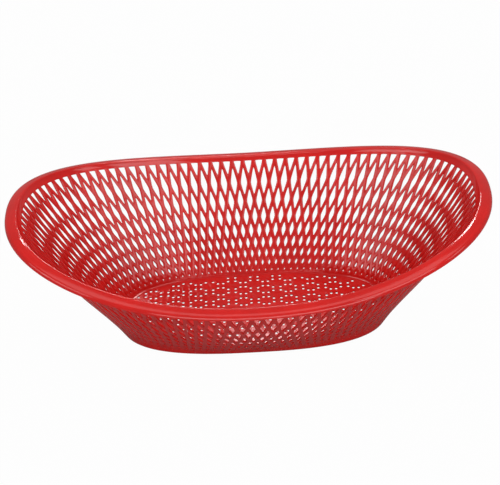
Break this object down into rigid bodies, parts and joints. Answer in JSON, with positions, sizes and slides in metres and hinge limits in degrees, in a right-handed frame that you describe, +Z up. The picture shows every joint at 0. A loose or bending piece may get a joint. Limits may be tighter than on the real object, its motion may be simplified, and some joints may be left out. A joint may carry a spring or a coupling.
{
  "type": "basket",
  "caption": "Oval moulded plastic basket with a flared lattice wall, a rim that sweeps up to both ends, an outturned lip and a flat floor.",
  "frame": {"origin": "centre of the floor's underside, on the surface that the basket stands on", "axes": "+X along the basket's length towards one raised end, +Y across its width, +Z up"},
  "size_m": [0.38, 0.252, 0.1092],
  "materials": {
    "moulded_plastic": "satin injection-moulded polypropylene, red all through"
  },
  "bodies": {
    "root": {"basket": "moulded_plastic"}
  },
  "joints": []
}
